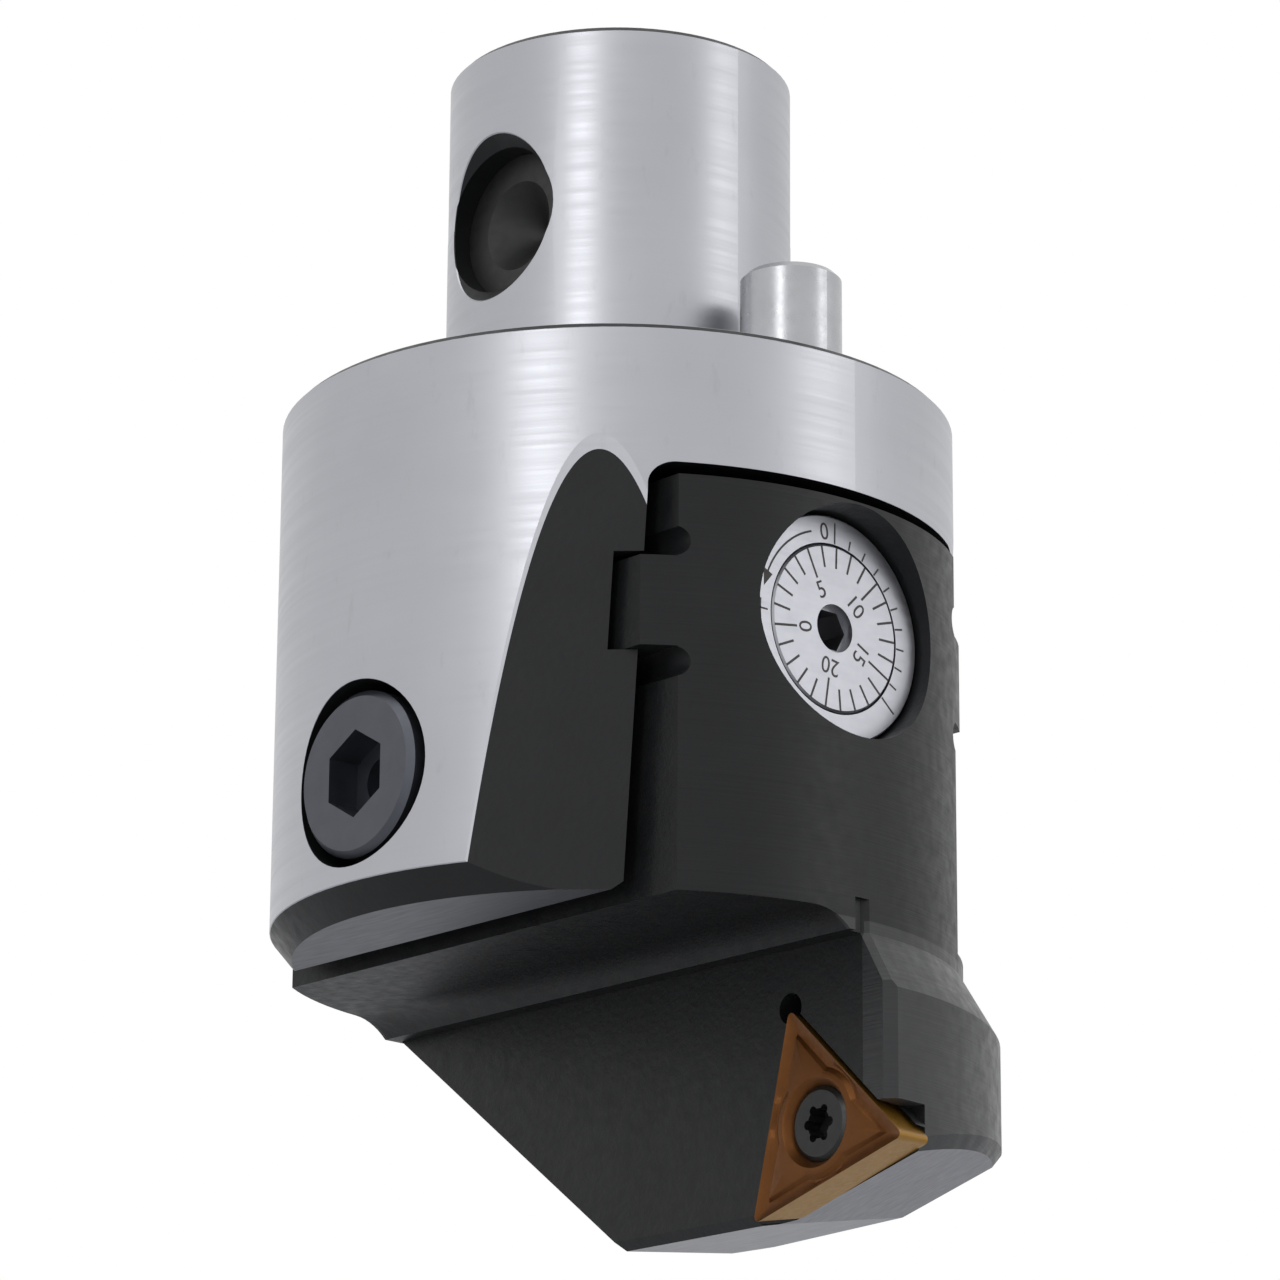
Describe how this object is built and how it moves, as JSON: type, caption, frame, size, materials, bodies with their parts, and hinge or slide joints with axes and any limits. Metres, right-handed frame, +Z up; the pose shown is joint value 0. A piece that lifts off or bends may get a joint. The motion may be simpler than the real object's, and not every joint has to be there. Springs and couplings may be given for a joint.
{
  "type": "adjustable boring head",
  "caption": "Cylindrical boring head with a ground shank and drive pin, a ribbed slide fed by a graduated dial, a clamp screw and a triangular cutting insert.",
  "frame": {"origin": "centre of the shank in the plane of the shoulder it seats on", "axes": "+Z up the shank away from the cutter, +X the way the insert holder feeds out, with the dial and the drive pin, -Y the clamp screw side"},
  "size_m": [0.0582, 0.0572, 0.0965],
  "materials": {
    "ground_steel": "ground satin",
    "black_oxide": "black oxide, fine turned",
    "dial_steel": "satin, dark engraved marks",
    "screw_black": "black oxide screw",
    "coated_carbide": "gold and brown coating",
    "plain_steel": "hardened, plain",
    "spring_steel": "spring steel",
    "seal_rubber": "black nitrile",
    "bronze": "bearing bronze"
  },
  "bodies": {
    "head": {"head_body": "ground_steel", "drive_pin": "ground_steel", "coupling_pin_screw": "screw_black", "feed_nut": "bronze", "feed_nut_screw": "screw_black", "travel_stop_pin": "plain_steel", "gib_front": "bronze", "gib_back": "bronze", "gib_dowels": "plain_steel"},
    "holder": {"insert_holder": "black_oxide", "insert": "coated_carbide", "insert_screw": "screw_black", "vernier_ring": "dial_steel", "ring_pin": "plain_steel", "thrust_washer": "plain_steel", "disc_springs": "spring_steel", "dial_seal": "seal_rubber", "spindle_bush": "bronze", "spindle_plug": "screw_black"},
    "dial": {"micrometer_spindle": "plain_steel", "graduated_dial": "dial_steel", "dial_grub_screw": "screw_black"},
    "cross_pin": {"coupling_pin": "black_oxide"},
    "clamp_seat": {"clamp_washer": "spring_steel"},
    "clamp": {"clamp_screw": "screw_black"}
  },
  "joints": [
    {"name": "holder_slide", "type": "slide", "parent": "head", "child": "holder", "axis": [1, 0, 0], "range_m": [-0.0008, 0.0027]},
    {"name": "dial_turn", "type": "hinge", "parent": "holder", "child": "dial", "pos_m": [0, 0, -0.0216], "axis": [1, 0, 0], "range_deg": [-907.2, 3061.6]},
    {"name": "cross_pin_float", "type": "slide", "parent": "head", "child": "cross_pin", "axis": [0, 1, 0], "range_m": [-0.001, 0.001]},
    {"name": "clamp_back_off", "type": "slide", "parent": "head", "child": "clamp_seat", "axis": [0, -1, 0], "range_m": [0, 0.00125]},
    {"name": "clamp_turn", "type": "hinge", "parent": "clamp_seat", "child": "clamp", "pos_m": [0, 0, -0.03335], "axis": [0, -1, 0], "range_deg": [0, 360.1]}
  ],
  "couplings": [
    {"joint": "dial_turn", "follows": "holder_slide", "rad_per_m": 19790},
    {"joint": "clamp_turn", "follows": "clamp_back_off", "rad_per_m": 5026.5}
  ]
}
